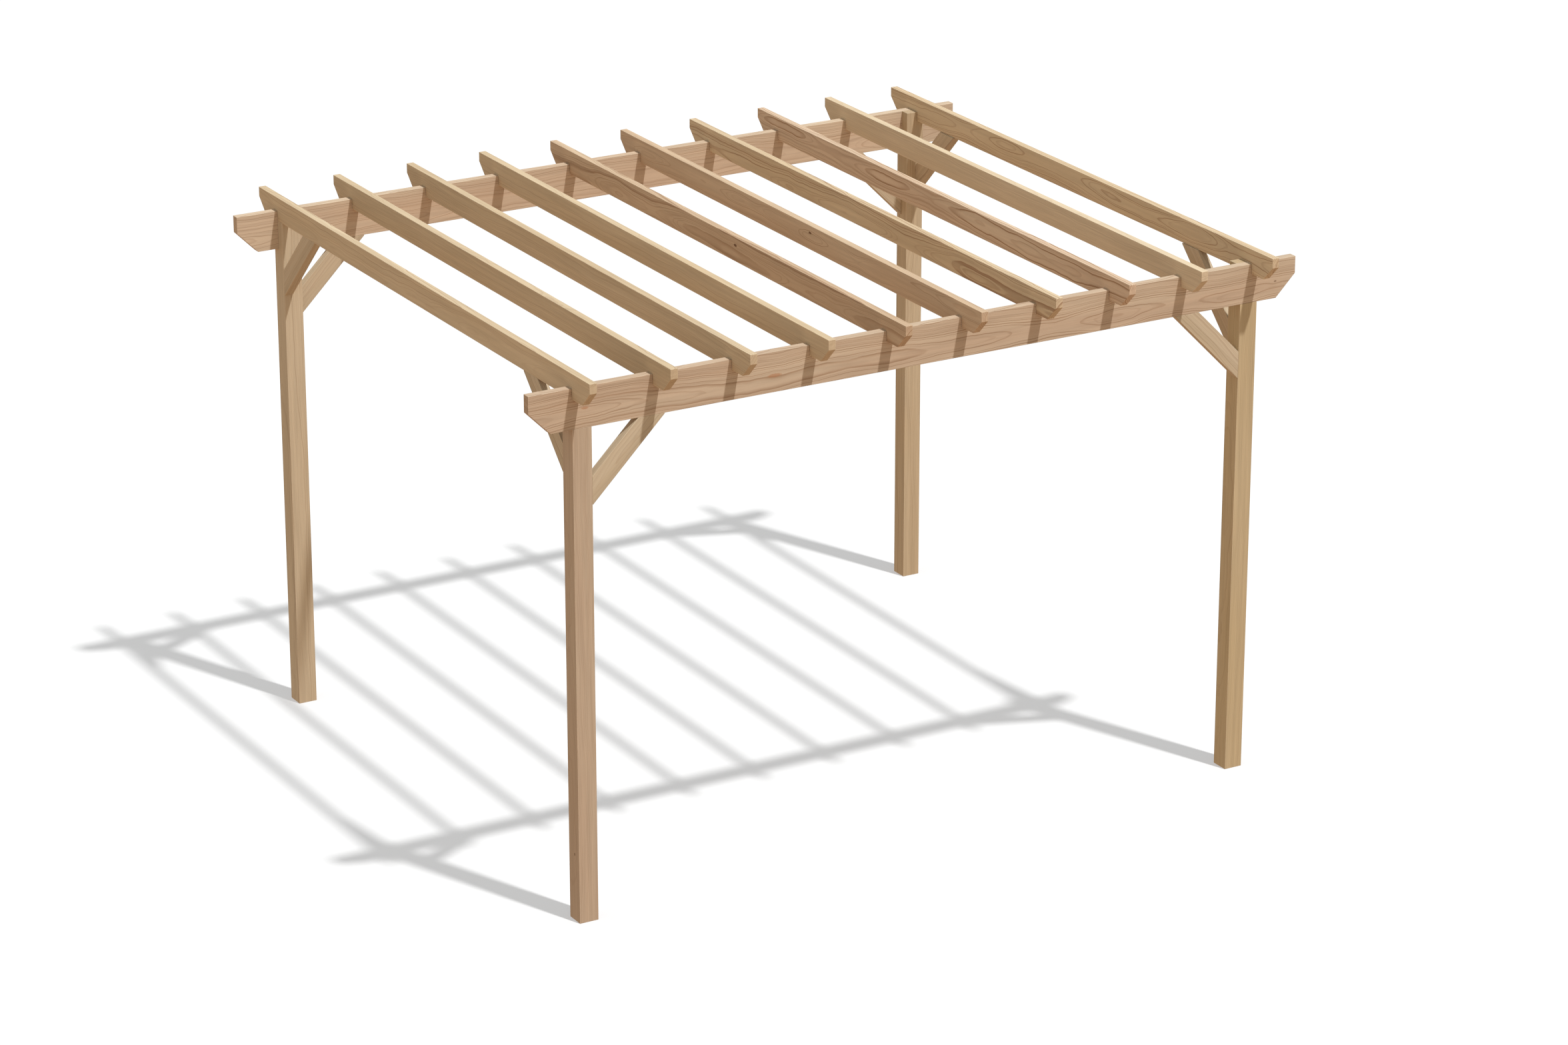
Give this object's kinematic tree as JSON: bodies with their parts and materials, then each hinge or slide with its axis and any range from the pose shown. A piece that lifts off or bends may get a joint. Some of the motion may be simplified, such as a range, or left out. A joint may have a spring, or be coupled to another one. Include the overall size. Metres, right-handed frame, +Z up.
{
  "type": "pergola",
  "caption": "Free-standing timber pergola: square posts, a beam along each long side, notched rafters across with slanted ends, and knee braces at each post.",
  "frame": {"origin": "the middle of the ground between the four posts, under the middle of the roof", "axes": "+X along the beams, to the right seen from the front; +Y along the rafters, from front to back; +Z up"},
  "size_m": [4.265, 3.605, 2.763],
  "materials": {
    "post_timber": "planed softwood, untreated, matt",
    "beam_timber": "planed softwood, untreated, matt",
    "rafter_timber": "planed softwood, untreated, matt",
    "brace_timber": "planed softwood, untreated, matt"
  },
  "bodies": {
    "root": {"beam_back": "beam_timber", "beam_front": "beam_timber", "brace_back_left_to_beam": "brace_timber", "brace_back_left_to_rafter": "brace_timber", "brace_back_right_to_beam": "brace_timber", "brace_back_right_to_rafter": "brace_timber", "brace_front_left_to_beam": "brace_timber", "brace_front_left_to_rafter": "brace_timber", "brace_front_right_to_beam": "brace_timber", "brace_front_right_to_rafter": "brace_timber", "post_back_left": "post_timber", "post_back_right": "post_timber", "post_front_left": "post_timber", "post_front_right": "post_timber", "rafter_01": "rafter_timber", "rafter_02": "rafter_timber", "rafter_03": "rafter_timber", "rafter_04": "rafter_timber", "rafter_05": "rafter_timber", "rafter_06": "rafter_timber", "rafter_07": "rafter_timber", "rafter_08": "rafter_timber", "rafter_09": "rafter_timber", "rafter_10": "rafter_timber"}
  },
  "joints": []
}
